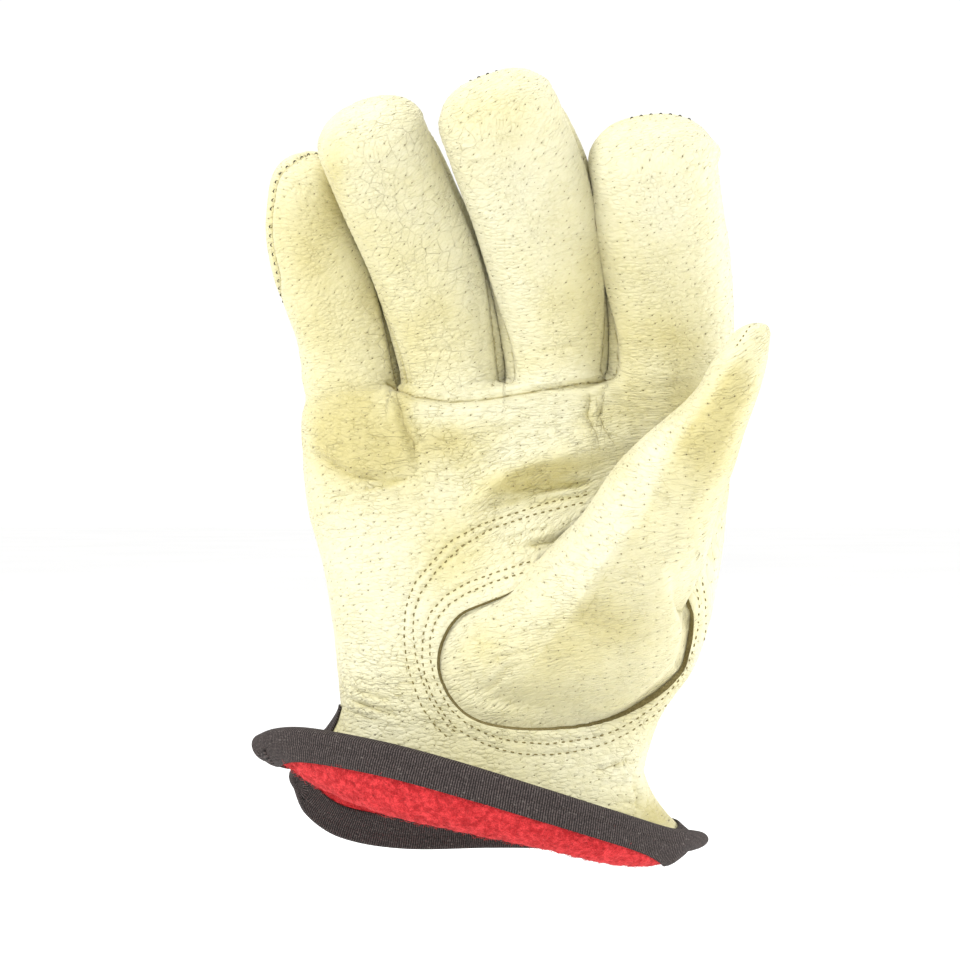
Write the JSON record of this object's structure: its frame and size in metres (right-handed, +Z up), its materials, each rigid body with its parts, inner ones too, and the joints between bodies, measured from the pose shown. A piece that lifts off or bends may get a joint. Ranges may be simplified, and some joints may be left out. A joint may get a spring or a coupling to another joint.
{
  "type": "leather winter work glove",
  "caption": "Right-hand leather work glove with a fleece lining, keystone thumb and flared cuff bound in tape, standing as worn.",
  "frame": {"origin": "the middle of the cuff's opening, where the wrist goes in", "axes": "+Z up through the cuff to the fingertips, -Y out of the palm, +X to the thumb's side"},
  "size_m": [0.1554, 0.1094, 0.2395],
  "materials": {
    "leather": "pale grained pigskin, matt",
    "fleece": "red brushed fleece",
    "twill": "black twill tape"
  },
  "bodies": {
    "root": {"palm_panel": "leather", "back_panel": "leather", "finger_fronts": "leather", "thumb": "leather", "fork_little_ring": "leather", "fork_ring_middle": "leather", "fork_middle_index": "leather", "lining": "fleece", "cuff_binding": "twill"}
  },
  "joints": []
}
